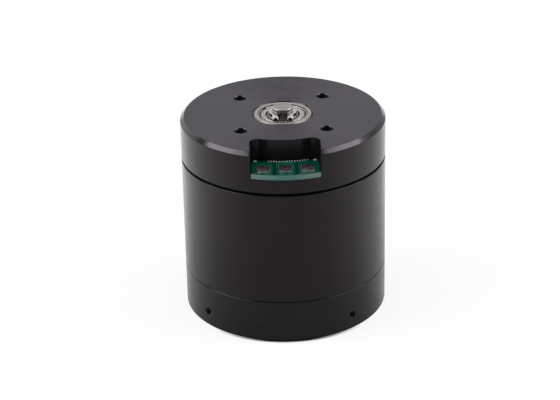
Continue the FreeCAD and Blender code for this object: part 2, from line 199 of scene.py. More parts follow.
# Fineness of the meshes
SEGMENTS = 180
RIM_STEPS = 220
FRONT_STEPS = 28
CORNER_STEPS = 10
BACK_STEPS = 24
EASE_STEPS = 3
ROUND_STEPS = 8
HOLE_SEGMENTS = 32
PATCH_STEPS = HOLE_SEGMENTS // 4
STEPS_PER_PITCH = 6
POST_SEGMENTS = 20
EYE_SEGMENTS = 24
WIRE_SEGMENTS = 16
PAD_STEPS = 26
DOME_ANGLES = (0, 0.35, 0.7, 1.05, 1.35)
NOTCH_EDGE_SHARES = (1.5, 1.0, 0.7, 0.45)
hole_start = -0.75 * pi
crisp_edge = 0.05
soft_edge = 0.2
longest_ease = 0.45
smooth_angle = radians(35)

# Rise of a face's normal that tells its finish
level_rise = 0.97
sloping_rise = 0.3
board_top_rise = 0.99
board_edge_rise = 0.4
sheared_rise = 0.8

# Places that follow from the sizes
z_base_low = z_can_high + running_gap
z_ceiling = z_notch - notch_floor
notch_half = half_board + board_clearance
r_notch_back = r_motor - notch_reach
r_skirt = r_motor - skirt_wall
r_tube = r_bearing + tube_wall
r_bore = r_bearing - bearing_shoulder
r_lead_row = r_notch_back + lead_wall_distance
r_pitch = (r_shaft + r_bearing) / 2
r_outer_land = r_pitch + ball_radius - race_depth
r_shield_seat = r_outer_land + shield_seat_step
corner_x = notch_half - notch_corner
corner_y = -sqrt((r_notch_back + notch_corner) ** 2 - corner_x ** 2)


# Helpers for meshes

def at(radius, angle, z):
    return Vector((radius * cos(angle), radius * sin(angle), z))


def whole_turn(count=SEGMENTS, start=0.0):
    return [start + TAU * i / count for i in range(count)]


def spread(first, last, steps):
    """Even steps from first to last, both included."""
    return [first + (last - first) * i / steps for i in range(steps + 1)]


def arc(centre, radius, first, last, steps):
    """Plan points along an arc, both ends included."""
    x, y = centre
    return [Vector((x + radius * cos(a), y + radius * sin(a))) for a in spread(first, last, steps)]


def clockwise_circle(centre, radius, count=POST_SEGMENTS):
    return arc(centre, radius, 0, TAU, count)[:0:-1]


def curve(first, corner, last, steps=EASE_STEPS):
    """A small round between two points, drawn towards a corner."""
    return [first.lerp(corner, t).lerp(corner.lerp(last, t), t) for t in spread(0, 1, steps)]


def eased(corners, radius=crisp_edge, closed=False):
    """An outline with rounded corners. An open one keeps its ends."""
    points = []
    count = len(corners)
    for i, corner in enumerate(corners):
        here = Vector(corner)
        if not closed and i in (0, count - 1):
            points.append(here)
            continue
        back = Vector(corners[i - 1]) - here
        ahead = Vector(corners[(i + 1) % count]) - here
        reach = radius / tan(back.angle(ahead) / 2)
        reach = min(reach, longest_ease * back.length, longest_ease * ahead.length)
        points += curve(here + back.normalized() * reach, here, here + ahead.normalized() * reach)
    return points


def widened(points, amount):
    """A closed plan outline moved to its left, so inwards if anticlockwise."""
    moved = []
    for before, point, after in zip(points[-1:] + points[:-1], points, points[1:] + points[:1]):
        ways = [(point - before).normalized(), (after - point).normalized()]
        first, second = [Vector((-way.y, way.x)) for way in ways]
        moved.append(point + (first + second) * (amount / (1 + first.dot(second))))
    return moved


def new_loop(bm, points):
    return [bm.verts.new(point) for point in points]


def flat_loop(bm, points, z):
    return new_loop(bm, [(point[0], point[1], z) for point in points])


def bridge(bm, first, second):
    """Faces between two like closed loops, or a loop and a single point."""
    faces = []
    for i in range(max(len(first), len(second))):
        places = [(first, i), (first, i + 1), (second, i + 1), (second, i)]
        corners = [loop[k % len(loop)] for loop, k in places]
        faces.append(bm.faces.new(list(dict.fromkeys(corners))))
    return faces


def skin(bm, loops):
    """Faces from each loop to the next."""
    for first, second in zip(loops, loops[1:]):
        bridge(bm, first, second)


def fill(bm, *loops):
    """A flat face inside the first loop and outside the others."""
    edges = []
    for loop in loops:
        for ends in zip(loop, loop[1:] + loop[:1]):
            edges.append(bm.edges.get(ends) or bm.edges.new(ends))
    bmesh.ops.triangle_fill(bm, use_beauty=True, edges=edges)


def lathe(bm, outline, angles=None, closed=True, centre=(0, 0)):
    """Surface of revolution through (radius, height) points."""
    angles = angles or whole_turn()
    offset = Vector((*centre, 0))
    loops = []
    for radius, z in outline:
        around = angles if radius > NIL else angles[:1]
        loops.append(new_loop(bm, [at(radius, a, z) + offset for a in around]))
    skin(bm, loops + loops[:1] if closed else loops)
    return loops


def plate(bm, outer, holes, z_low, z_high, edge, hole_edge=None):
    """Flat piece with rounded edges from an anticlockwise outline and clockwise holes."""
    rounds = spread(0, pi / 2, EASE_STEPS)
    levels = [(z_low, 1, a) for a in reversed(rounds)] + [(z_high, -1, a) for a in rounds]
    borders = []
    for outline in [outer] + holes:
        ease = edge if outline is outer else hole_edge or edge
        loops = []
        for z_face, inward, a in levels:
            outset = widened(outline, ease * (1 - cos(a)))
            loops.append(flat_loop(bm, outset, z_face + inward * ease * (1 - sin(a))))
        skin(bm, loops)
        borders.append((loops[0], loops[-1]))
    for loops in zip(*borders):
        fill(bm, *loops)


def mark(bm, pick):
    """Numbers each face's finish, by its centre and the rise of its normal."""
    bm.normal_update()
    for face in bm.faces:
        face.material_index = int(pick(face.calc_center_median(), abs(face.normal.z)))


def added(name, data):
    """A new object in the scene."""
    thing = bpy.data.objects.new(name, data)
    bpy.context.scene.collection.objects.link(thing)
    return thing


def finish_piece(bm, title, body, materials):
    """A mesh in millimetres becomes a piece in metres, in place of the solid of that title, if any."""
    node = title if title in frame["nodes"] else None
    name = title + "_finish" if node else title
    bmesh.ops.recalc_face_normals(bm, faces=bm.faces)
    bmesh.ops.scale(bm, vec=(MM, MM, MM), verts=bm.verts)
    mesh = bpy.data.meshes.new(name)
    bm.to_mesh(mesh)
    bm.free()
    mesh.shade_smooth()
    mesh.set_sharp_from_angle(angle=smooth_angle)
    for material in materials:
        mesh.materials.append(material)
    piece = added(name, mesh)
    piece.modifiers.new("even_normals", "WEIGHTED_NORMAL").keep_sharp = True
    if node:
        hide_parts(node)
    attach(piece, body)


# Tapped holes

HOLE_ANGLES = whole_turn(HOLE_SEGMENTS, hole_start)


def hole_frame(mouth, inward, side):
    """A function that places an angle, a radius and a depth in a hole."""
    rise = side.cross(inward)

    def place(angle, radius, depth):
        across = side * cos(angle) + rise * sin(angle)
        return mouth + across * radius + inward * depth
    return place


def thread_depth(place):
    """Depth of a thread at a share of its pitch: flat crest, sloping flanks, narrow root."""
    rise = 1 - 2 * abs(place % 1 - 0.5)
    return min(1.0, max(0.0, (rise - thread_crest) / thread_flank))


def tapped_hole(bm, place, r_tap, bend, sink, sink_depth, thread, depth, pitch):
    """Threaded hole in a surface of a bend radius, or nil if flat. Gives the mouth and the edge's faces."""
    r_sink, r_mouth = sink / 2, sink / 2 + crisp_edge
    top = sink_depth + crisp_edge
    rim = min(sink_rim, sink_depth / 2)
    falls = [bend - sqrt(max(0.0, bend ** 2 - (r_mouth * cos(a)) ** 2)) for a in HOLE_ANGLES]
    mouth = new_loop(bm, [place(a, r_mouth, fall) for a, fall in zip(HOLE_ANGLES, falls)])
    rings = [(r_sink, crisp_edge), (r_sink - rim, rim + crisp_edge), (r_tap, top)]
    loops = [new_loop(bm, [place(a, radius, low) for a in HOLE_ANGLES]) for radius, low in rings]
    edge = bridge(bm, mouth, loops[0]) + bridge(bm, loops[0], loops[1])
    steps = int((depth - top) / pitch * STEPS_PER_PITCH)
    for low in spread(top, depth, steps)[1:]:
        fade = max(0.0, min(1.0, (low - top) / pitch, (depth - low) / pitch))
        grooves = [thread_depth(low / pitch - a / TAU) * (thread / 2 - r_tap) * fade for a in HOLE_ANGLES]
        loops.append(new_loop(bm, [place(a, r_tap + groove, low) for a, groove in zip(HOLE_ANGLES, grooves)]))
    loops.append(new_loop(bm, [place(0, 0, depth + r_tap / tan(drill_point))]))
    skin(bm, loops[1:])
    return mouth, edge


# Fixed base

def notch_walls(grow):
    """Plan of the notch's left side, back and right side, wider by grow."""
    turn = atan2(corner_y, corner_x)
    r_corner = notch_corner + grow
    left = arc((-corner_x, corner_y), r_corner, pi, -turn, CORNER_STEPS)
    back = arc((0, 0), r_notch_back - grow, -pi - turn, turn, BACK_STEPS)
    return left + back[1:-1] + arc((corner_x, corner_y), r_corner, pi + turn, 0, CORNER_STEPS)


def base_outline(r_rim, grow):
    """Plan of the base at a level where the notch cuts it, the rim first."""
    half = notch_half + grow
    mouth = -acos(half / r_rim)
    lead = front_corner_ease / r_rim
    rim = arc((0, 0), r_rim, mouth + lead, pi - mouth - lead, RIM_STEPS)
    left, right = [Vector((x, r_rim * sin(mouth))) for x in (-half, half)]
    inward = Vector((0, front_corner_ease))
    ease_left = curve(rim[-1], left, left + inward)
    ease_right = curve(right + inward, right, rim[0])
    return rim + ease_left[1:] + notch_walls(grow) + ease_right[:-1]


def base_levels():
    """(radius, height) steps up the notched part."""
    r_face = r_motor - base_chamfer
    outline = [(r_motor, z_notch), (r_motor, z_top - base_chamfer), (r_face, z_top), (0, z_top)]
    levels = eased(outline, soft_edge)[:-1]
    drops = [notch_edge * share for share in NOTCH_EDGE_SHARES]
    levels += [Vector((r_face + drop, z_top - drop)) for drop in drops]
    return sorted(levels, key=lambda level: level[1])


def notch_growth(z):
    """How much the notch's rounded top edge widens it at a height."""
    above = max(0.0, z - (z_top - notch_edge))
    return notch_edge - sqrt(max(0.0, notch_edge ** 2 - above ** 2))


def lead_angle(index):
    """Angle of a winding strand along the notch's back wall."""
    step = (2 * notch_half - 2 * lead_row_margin) / (lead_count - 1) / r_lead_row
    return -pi / 2 + lead_row_turn - step * (lead_count - 1) / 2 + step * index


def lead_places():
    return [at(r_lead_row, lead_angle(i), 0).to_2d() for i in range(lead_count)]


def pin_places():
    """The pins lie on the bisector of each back corner of the notch."""
    corner = Vector((corner_x, corner_y))
    way = (Vector((1, 0)) - corner.normalized()).normalized()
    place = corner + way * (notch_corner - board_clearance - pin_edge_distance)
    return [place, Vector((-place.x, place.y))]


def slot_outline():
    """Opening in the notch floor that the strands come up through."""
    first, last = lead_angle(-1), lead_angle(lead_count)
    r_inner = r_notch_back + lead_slot_wall
    inner = arc((0, 0), r_inner, last, first, BACK_STEPS)
    return arc((0, 0), 2 * r_lead_row - r_inner, first, last, BACK_STEPS) + inner


def base_skirt(bm, lowest):
    """Wall below the lowest loop. Gives the borders of the notch's floor and the ceiling."""
    rim = lowest[:RIM_STEPS + 1]
    rim_angles = [atan2(v.co.y, v.co.x) for v in rim]
    front_angles = spread(rim_angles[-1] % TAU, rim_angles[0] % TAU, FRONT_STEPS)[1:-1]
    front = new_loop(bm, [at(r_motor, a, z_notch) for a in front_angles])
    outline = eased([
        (r_motor, z_notch), (r_motor, z_base_low + base_edge), (r_motor - base_edge, z_base_low),
        (r_skirt, z_base_low), (r_skirt, z_ceiling)])
    loops = lathe(bm, outline[1:], rim_angles + front_angles, closed=False)
    bridge(bm, rim + front, loops[0])
    return lowest[RIM_STEPS:] + lowest[:1] + front[::-1], loops[-1]


def base_tube(bm):
    """Bearing tube. Gives its loops at the ceiling and the top face."""
    r_outside = r_tube + tube_shoulder
    z_seat = bearing_low["upper"]
    outline = eased([
        (r_outside, z_ceiling), (r_outside, z_stack_high), (r_tube, z_stack_high), (r_tube, z_tube_low),
        (r_bearing, z_tube_low), (r_bearing, z_lower_stop), (r_bore, z_lower_stop),
        (r_bore, z_seat), (r_bearing, z_seat), (r_bearing, z_top - seat_edge),
        (r_bearing + seat_edge, z_top), (r_motor, z_top)])
    loops = lathe(bm, outline[:-1], closed=False)
    return loops[0], loops[-1]


def floor_openings(bm):
    """Openings for strands and pins. Gives their loops in floor and ceiling."""
    outlines = [slot_outline()] + [clockwise_circle(place, pin_radius) for place in pin_places()]
    floor, ceiling = [[flat_loop(bm, outline, z) for outline in outlines] for z in (z_notch, z_ceiling)]
    for loops in zip(floor, ceiling):
        bridge(bm, *loops)
    return floor, ceiling


def face_holes(bm):
    """Tapped holes in the top face. Gives their mouths and edge faces."""
    pattern = mounts("face_bolts")[0]["dims"]
    mouths, edges = [], []
    for angle in whole_turn(pattern["count"], pi / pattern["count"]):
        centre = at(pattern["pcd_mm"] / 2, angle, z_top)
        place = hole_frame(centre, Vector((0, 0, -1)), Vector((1, 0, 0)))
        mouth, edge = tapped_hole(bm, place, pattern["hole_r_mm"], 0, **FACE_HOLE)
        mouths.append(mouth)
        edges += edge
    return mouths, edges


def base_finish(centre, rise):
    """Number of a face's finish: wall, top face, or cut edge at the rim or the seat."""
    if centre.z <= z_top - base_chamfer - soft_edge:
        return 0
    r_rim = r_motor - base_chamfer - soft_edge
    cut = not r_bearing + seat_edge <= centre.to_2d().length <= r_rim
    return 1 if rise > level_rise else 2 if cut and rise > sloping_rise else 0


def stator_base(bm):
    """The wall, the top face, the cut edges and the holes have finishes of their own. The top face's coat is
    lighter, as painted light, and the holes' insides are darker, as painted shade.
    """
    loops = [flat_loop(bm, base_outline(r, notch_growth(z)), z) for r, z in base_levels()]
    skin(bm, loops)
    floor_border, ceiling_border = base_skirt(bm, loops[0])
    tube_low, tube_high = base_tube(bm)
    floor, ceiling = floor_openings(bm)
    fill(bm, floor_border, *floor)
    fill(bm, ceiling_border, tube_low, *ceiling)
    before_holes = len(bm.faces)
    mouths, hole_edges = face_holes(bm)
    hole_faces = list(bm.faces)[before_holes:]
    fill(bm, loops[-1], tube_high, *mouths)
    mark(bm, base_finish)
    # Hole edges take the cut coat. The holes' insides take a darker coat, as painted shade.
    for face in hole_faces:
        face.material_index = 2 if face in hole_edges else 3


# Terminal board

def board_outline(inset):
    """Plan of the board, anticlockwise, set in from the notch and the rim."""
    r_front = r_motor - inset
    mouth = acos((notch_half - inset) / r_front)
    return arc((0, 0), r_front, mouth - pi, -mouth, FRONT_STEPS) + notch_walls(-inset)[::-1]


def terminal_board(bm):
    """The mask thins out on the round edge of the top, and the sawn edge is bare."""
    holes = [clockwise_circle(place, lead_radius + fit_clearance) for place in lead_places()]
    holes += [clockwise_circle(place, pin_radius + fit_clearance) for place in pin_places()]
    plate(bm, board_outline(board_clearance), holes, z_notch, z_board_top, board_edge_round, crisp_edge)
    mark(bm, lambda centre, rise: 0 if rise > board_top_rise else 2 if rise > board_edge_rise else 1)


def pad_centres():
    y = pad_front_margin - r_motor + pad_length / 2
    return [Vector((pad_pitch * i, y)) for i in (-1, 0, 1)]


def pad_outline(centre, grow, radius):
    """Anticlockwise outline of a pad with round corners, wider on each side by grow."""
    points = []
    for i, (sx, sy) in enumerate(((1, 1), (-1, 1), (-1, -1), (1, -1))):
        x = centre.x + sx * (pad_width / 2 + grow - radius)
        y = centre.y + sy * (pad_length / 2 + grow - radius)
        points += arc((x, y), radius, pi / 2 * i, pi / 2 * (i + 1), CORNER_STEPS)
    return points


def film(bm, outer, opening, height):
    """Thin layer on the board with an opening."""
    plate(bm, outer, [opening[::-1]], z_board_top, z_board_top + height, height / 3)


def copper_pours(bm):
    """Copper areas under the mask, one round each pad."""
    r_front = r_motor - board_clearance - pour_edge
    y_back = corner_y + pour_edge
    x_outer = half_board - pour_edge
    x_inner = (pad_pitch - pour_gap) / 2
    limits = ((-x_outer, -x_inner - pour_gap), (-x_inner, x_inner), (x_inner + pour_gap, x_outer))
    for centre, (x_low, x_high) in zip(pad_centres(), limits):
        front = arc((0, 0), r_front, -acos(x_low / r_front), -acos(x_high / r_front), CORNER_STEPS)
        corners = front + [Vector((x_high, y_back)), Vector((x_low, y_back))]
        film(bm, corners, pad_outline(centre, mask_opening, pad_corner + mask_opening), pour_height)


def pad_rims(bm):
    """Pale rim of thin mask round each pad."""
    for centre in pad_centres():
        outer = pad_outline(centre, pad_rim, pad_corner + pad_rim)
        film(bm, outer, pad_outline(centre, -pad_rim_height, pad_corner), pad_rim_height)


def pad_point(u, v):
    """A place on a pad, and its distance from the pad's edge, for shares from -1 to 1 along and across."""
    half = Vector((pad_width / 2, pad_length / 2))
    place = Vector((u * half.x, v * half.y))
    core = Vector((half.x - pad_corner, half.y - pad_corner))
    out = Vector((max(0.0, abs(place.x) - core.x), max(0.0, abs(place.y) - core.y)))
    if out.x > 0 and out.y > 0:
        out = out.normalized() * max(out.x, out.y)
        place = Vector((copysign(core.x + out.x, u), copysign(core.y + out.y, v)))
        return place, pad_corner - out.length
    return place, min(half.x - abs(place.x), half.y - abs(place.y))


def pad_rise(place, inside, index):
    """Height of the solder on a pad, lower over a round shoulder at the edge."""
    lump = pad_lump_mean
    for fineness, share, seed, step in LUMP_LAYERS:
        lump += share * noise.noise(Vector((place.x * fineness, place.y * fineness, seed + step * index)))
    share = min(1.0, max(0.0, inside) / pad_shoulder)
    return (pad_height + pad_lump * lump) * sqrt(1 - (1 - share) ** 2)


def phase_pads(bm):
    """Tinned pads with an uneven top."""
    shares = spread(-1, 1, PAD_STEPS)
    for index, centre in enumerate(pad_centres()):
        rows = []
        for u in shares:
            points = []
            for place, inside in [pad_point(u, v) for v in shares]:
                z = z_board_top + pad_foot + pad_rise(place, inside, index)
                points.append((centre.x + place.x, centre.y + place.y, z))
            rows.append(new_loop(bm, points))
        for low, high in zip(rows, rows[1:]):
            for corners in zip(low, high, high[1:], low[1:]):
                bm.faces.new(corners)
        border = [row[0] for row in rows] + rows[-1][1:]
        border += [row[-1] for row in reversed(rows[:-1])] + rows[0][-2:0:-1]
        foot = flat_loop(bm, [v.co for v in border], z_board_top)
        bridge(bm, border, foot)
        fill(bm, foot)


def domed_post(bm, place, radius, z_low, z_high, dome):
    """Round wire end with a domed tip."""
    tip = [(radius * cos(a), z_high + dome * sin(a)) for a in DOME_ANGLES]
    outline = [(0, z_low), (radius, z_low)] + tip + [(0, z_high + dome)]
    lathe(bm, outline, whole_turn(POST_SEGMENTS), closed=False, centre=place)


def board_pins(bm):
    for place in pin_places():
        domed_post(bm, place, pin_radius, z_pin_low, z_board_top + pin_stand, pin_dome)


def phase_leads(bm):
    generator = random.Random(lead_seed)
    for place in lead_places():
        z_high = z_board_top + lead_stand * generator.uniform(*lead_stand_range)
        domed_post(bm, place, lead_radius, z_lead_low, z_high, lead_dome)


# Bearings

def faces_of(side):
    """Height and outward way of a bearing's two faces, the upper one first."""
    return ((bearing_low[side] + bearing_width, 1), (bearing_low[side], -1))


def ring_outline(side, points, land):
    """Outline of a ring, alike at both faces, from (radius, depth) points, and its ball track."""
    z_low = bearing_low[side]
    outline = [(r, z_low + bearing_width - depth) for r, depth in points]
    outline += [(r, z_low + depth) for r, depth in reversed(points)]
    radius = ball_radius + ball_clearance
    reach = acos((land - r_pitch) / radius)
    first, last = (-reach, reach) if land > r_pitch else (reach, TAU - reach)
    return eased(outline) + arc((r_pitch, z_low + bearing_width / 2), radius, first, last, CORNER_STEPS)


def outer_ring(bm, side):
    """The faces are ground. The corners are darker, partly as unground steel and partly as painted shade of
    the gap round the ring, and the bore is darker as painted shade.
    """
    lathe(bm, ring_outline(side, [
        (r_outer_land, shield_seat_depth), (r_shield_seat, shield_seat_depth), (r_shield_seat, 0),
        (r_bearing - ring_corner, 0), (r_bearing, ring_corner)], r_outer_land))
    r_bore_edge, r_corner = r_shield_seat + crisp_edge, r_bearing - ring_corner
    mark(bm, lambda centre, rise: 2 if centre.xy.length < r_bore_edge else centre.xy.length > r_corner)


def inner_ring(bm, side):
    # The whole ring takes the darker bore steel: painted shade under the retaining ring's lugs.
    lathe(bm, ring_outline(side, [
        (r_inner_land, bearing_width / 4), (r_inner_land, race_edge), (r_inner_land - race_edge, 0),
        (r_shaft + race_edge, 0), (r_shaft, race_edge)], r_inner_land))


def shields(bm, side):
    """Sheet rings whose sunk rim, under the wire, is painted darker, as shade."""
    rim_out = r_shield_seat - seat_clearance
    rim_in = rim_out - shield_rim
    crown_out = rim_in - shield_slope
    crown_in = r_inner_land + shield_gap
    deep, shallow = shield_seat_depth, shield_seat_depth - shield_crown
    outline = eased([
        (rim_out, deep), (rim_out, deep - shield_sheet), (rim_in, deep - shield_sheet),
        (crown_out, shallow - shield_sheet), (crown_in, shallow - shield_sheet), (crown_in, shallow),
        (crown_out - shield_sheet / 2, shallow), (rim_in - shield_sheet / 2, deep)],
        2 * crisp_edge, closed=True)
    for z_face, way in faces_of(side):
        lathe(bm, [(r, z_face - way * depth) for r, depth in outline])
    mark(bm, lambda centre, rise: centre.xy.length > rim_in)


def snap_rings(bm, side):
    """Open rings of round wire that hold the shields in."""
    radius = snap_wire / 2
    r_middle = r_shield_seat - seat_clearance - radius
    depth = shield_seat_depth - shield_sheet - radius
    first = snap_gap_place + snap_gap_angle / 2
    turns = spread(first, first + TAU - snap_gap_angle, SEGMENTS)
    section = [(r_middle + radius * cos(a), radius * sin(a)) for a in whole_turn(WIRE_SEGMENTS)]
    for z_face, way in faces_of(side):
        z_middle = z_face - way * depth
        loops = [new_loop(bm, [at(r, turn, z_middle + rise) for r, rise in section]) for turn in turns]
        skin(bm, loops)
        bm.faces.new(loops[0])
        bm.faces.new(loops[-1])


# Rotor

def rotor_can(bm):
    lathe(bm, eased([
        (r_can_inner, z_can_low), (r_motor, z_can_low), (r_motor, z_can_high - can_edge),
        (r_motor - can_edge, z_can_high), (r_can_inner + can_edge, z_can_high),
        (r_can_inner, z_can_high - can_edge)], closed=True))


def hub_screws():
    """Angle, height and tap radius of each radial hole in the record."""
    screws = []
    for mount in mounts("hub_screw"):
        x, y, z = mount["axis"]
        screws.append((atan2(y, x) % TAU, mount["pos_m"][2] / MM, mount["dims"]["r_mm"]))
    return sorted(screws)


def bell_angles(screws):
    """Angles of the bell's wall, with a finer patch at each hole, and where the patches start."""
    patch = hub_patch / r_motor
    between = SEGMENTS // len(screws) - PATCH_STEPS
    places = [angle for angle, z, r_tap in screws]
    angles, starts = [], []
    for here, following in zip(places, places[1:] + [places[0] + TAU]):
        starts.append(len(angles))
        angles += spread(here - patch, here + patch, PATCH_STEPS)[:-1]
        angles += spread(here + patch, following - patch, between)[:-1]
    return angles, starts


def bell_outline(z_screw):
    """(radius, height) outline of the bell from its foot, and the row where the holes' patches start."""
    r_spigot = r_can_inner - spigot_wall
    r_collar = r_shaft + bell_collar_wall
    z_spigot = z_can_low + spigot_height
    z_hub = z_tube_low - bell_hub_gap
    z_seat = bearing_low["lower"]
    lower = eased([
        (bell_hub_radius, 0), (r_motor - bell_rim_chamfer, 0), (r_motor, bell_rim_chamfer),
        (r_motor, z_screw)])[1:-1]
    wall = [(r_motor, z) for z in spread(z_screw - hub_patch, z_screw + hub_patch, PATCH_STEPS)]
    upper = eased([
        (r_motor, z_screw), (r_motor, z_can_low - bell_seam_chamfer),
        (r_motor - bell_seam_chamfer, z_can_low), (r_can_inner, z_can_low), (r_can_inner, z_spigot),
        (r_spigot, z_spigot), (r_spigot, bell_floor), (bell_hub_radius, bell_floor),
        (bell_hub_radius, z_hub), (r_collar, z_hub), (r_collar, z_seat), (r_shaft, z_seat),
        (r_shaft, 0), (bell_hub_radius, 0)])[1:-1]
    return lower + wall + upper, len(lower)


def bell_hole(bm, grid, angle, z, r_tap):
    """Opens the bell's wall inside a grid of its corners for a tapped hole."""
    bmesh.ops.delete(bm, geom=[v for row in grid[1:-1] for v in row[1:-1]], context="VERTS")
    border = grid[0][:-1] + [row[-1] for row in grid[:-1]]
    border += grid[-1][:0:-1] + [row[0] for row in grid[:0:-1]]
    place = hole_frame(at(r_motor, angle, z), -at(1, angle, 0), at(1, angle + pi / 2, 0))
    mouth, edge = tapped_hole(bm, place, r_tap, r_motor, **BELL_HOLE)
    bridge(bm, border, mouth)


def end_bell(bm):
    """Turned end of the rotor, with radial tapped holes."""
    screws = hub_screws()
    angles, starts = bell_angles(screws)
    outline, first_row = bell_outline(screws[0][1])
    rows = lathe(bm, outline, angles)[first_row:first_row + PATCH_STEPS + 1]
    for start, screw in zip(starts, screws):
        columns = [(start + k) % len(angles) for k in range(PATCH_STEPS + 1)]
        bell_hole(bm, [[row[c] for c in columns] for row in rows], *screw)


def shaft(bm):
    """Shaft with a groove for the retaining ring, a round upper corner and sawn ends."""
    r_groove, r_face = r_shaft - clip_groove, r_shaft - shaft_chamfer
    z_groove_low, z_groove_high = z_clip_low - clip_play, z_clip_high + clip_play
    outline = eased([
        (0, z_shaft_low), (r_face, z_shaft_low), (r_shaft, z_shaft_low + shaft_chamfer),
        (r_shaft, z_groove_low), (r_groove, z_groove_low), (r_groove, z_groove_high),
        (r_shaft, z_groove_high), (r_shaft, z_shaft_top - shaft_chamfer)], 2 * crisp_edge)
    corner, rim = Vector((r_shaft, z_shaft_top)), Vector((r_face, z_shaft_top))
    outline += curve(outline.pop(), corner, rim, ROUND_STEPS) + [(0, z_shaft_top)]
    lathe(bm, outline, closed=False)
    mark(bm, lambda centre, rise: rise > level_rise)


def lug_drop(place):
    """How far the retaining ring's top falls off at the ends and sides of its lugs."""
    out = max(0.0, (-place.y - r_shaft) / (clip_lug_reach + clip_lug_radius))
    aside = min(1.0, abs(abs(place.x) - clip_lug_offset) / clip_lug_radius)
    crown = clip_lug_crown * aside ** 2 * min(1.0, clip_crown_rise * out)
    return clip_lug_roll * out ** clip_roll_power + crown


def circlip(bm):
    """Open retaining ring with two eyed lugs in front. Its punched edges and lug ends are painted dark, as
    shade.
    """
    r_inner = r_shaft - clip_groove
    r_ring = r_inner + clip_width
    y_lug = -(r_inner + clip_lug_reach)
    y_hole = y_lug - clip_hole_shift
    near = acos((clip_lug_offset - clip_lug_radius) / r_inner)
    far = acos((clip_lug_offset + clip_lug_radius) / r_ring)
    ring_out = arc((0, 0), r_ring, -far, pi + far, SEGMENTS // 2)
    ring_in = arc((0, 0), r_inner, pi + near, -near, SEGMENTS // 2)
    ends, holes = [], []
    for x_lug in (-clip_lug_offset, clip_lug_offset):
        ends.append(arc((x_lug, y_lug), clip_lug_radius, pi, TAU, 2 * CORNER_STEPS))
        holes.append(clockwise_circle((x_lug, y_hole), clip_hole_radius, EYE_SEGMENTS))
    plate(bm, ring_out + ends[0] + ring_in + ends[1], holes, z_clip_low, z_clip_high, clip_edge)
    for vert in bm.verts:
        if vert.co.z > (z_clip_low + z_clip_high) / 2:
            vert.co.z -= lug_drop(vert.co)
    # Steep edges and the lug ends take the dark steel: painted shade.
    mark(bm, lambda centre, rise: rise < sheared_rise or centre.y < y_hole)
    bmesh.ops.rotate(bm, cent=(0, 0, 0), matrix=Matrix.Rotation(clip_turn, 3, "Z"), verts=bm.verts)


# Materials

class ShaderTree:
    """Adds nodes to a node tree, and gives their outputs."""

    def __init__(self, tree):
        self.tree = tree

    def feed(self, socket, value):
        """Links an input to an output, or sets it. Colours need no alpha."""
        if isinstance(value, bpy.types.NodeSocket):
            self.tree.links.new(value, socket)
        else:
            socket.default_value = (*value, 1) if socket.type == "RGBA" else value

    def set(self, node, **inputs):
        """Feeds a node of the tree. Underscores stand for spaces in input names."""
        for key, value in inputs.items():
            self.feed(self.tree.nodes[node].inputs[key.replace("_", " ")], value)

    def add(self, kind, inputs=(), **settings):
        node = self.tree.nodes.new("ShaderNode" + kind)
        for key, value in settings.items():
            setattr(node, key, value)
        for key, value in dict(inputs).items():
            self.feed(node.inputs[key], value)
        return node.outputs

    def math(self, operation, *values):
        return self.add("Math", dict(enumerate(values)), operation=operation)["Value"]

    def times(self, first, second):
        return self.math("MULTIPLY", first, second)

    def vector_math(self, operation, *values):
        return self.add("VectorMath", dict(enumerate(values)), operation=operation)

    def parts(self, vector):
        return self.add("SeparateXYZ", {"Vector": vector})

    def flat(self, vector):
        """A vector without its height."""
        return self.vector_math("MULTIPLY", vector, (1, 1, 0))["Vector"]

    def length(self, vector):
        return self.vector_math("LENGTH", vector)["Value"]

    def ranged(self, value, low, high, start=0.0, end=1.0):
        """A value from start to end, mapped to between low and high."""
        inputs = {"Value": value, "From Min": start, "From Max": end, "To Min": low, "To Max": high}
        return self.add("MapRange", inputs)["Result"]

    def mixed(self, factor, first, second):
        """Colour between two others."""
        return self.add("Mix", {0: factor, 6: first, 7: second}, data_type="RGBA")[2]

    def noise(self, place, size, detail=3.0, roughness=0.55):
        """Noise from 0 to 1 with features of about a size in millimetres."""
        inputs = {"Vector": place, "Scale": 1 / size, "Detail": detail, "Roughness": roughness}
        return self.add("TexNoise", inputs)["Fac"]

    def wave(self, along, size):
        """Sine wave along a measure in millimetres, of a size."""
        return self.math("SINE", self.times(along, TAU / size))

    def turned(self, place, along):
        """Distance from the axis, share of the angle and height, for marks round a turned piece."""
        parts = self.parts(place)
        drift = self.times(self.math("ARCTAN2", parts["Y"], parts["X"]), along)
        turned = {"X": self.length(self.flat(place)), "Y": drift, "Z": parts["Z"]}
        return self.add("CombineXYZ", turned)["Vector"]

    def bump(self, height, depth, strength, **before):
        """Surface normal from a height of 0 to 1 that stands for a depth in millimetres."""
        inputs = {"Height": height, "Distance": depth * MM, "Strength": strength, **before}
        return self.add("Bump", inputs)["Normal"]


class Surface(ShaderTree):
    """A material in the making."""

    def __init__(self, name, **inputs):
        self.material = bpy.data.materials.new(name)
        self.material.use_nodes = True
        super().__init__(self.material.node_tree)
        self.finish(**inputs)

    def place(self):
        """Place on the object in millimetres."""
        return self.vector_math("MULTIPLY", self.add("TexCoord")["Object"], (1 / MM,) * 3)["Vector"]

    def finish(self, **inputs):
        self.set("Principled BSDF", **inputs)
        return self.material


def dust_specks(tree, place):
    """1 on a few specks of dust, and 0 elsewhere."""
    cells = tree.add("TexVoronoi", {"Vector": place, "Scale": 1 / speck_spacing})
    picked = tree.add("SeparateColor", {"Color": cells["Color"]})["Red"]
    near = tree.math("LESS_THAN", cells["Distance"], speck_radius)
    return tree.times(near, tree.math("GREATER_THAN", picked, speck_rarity))


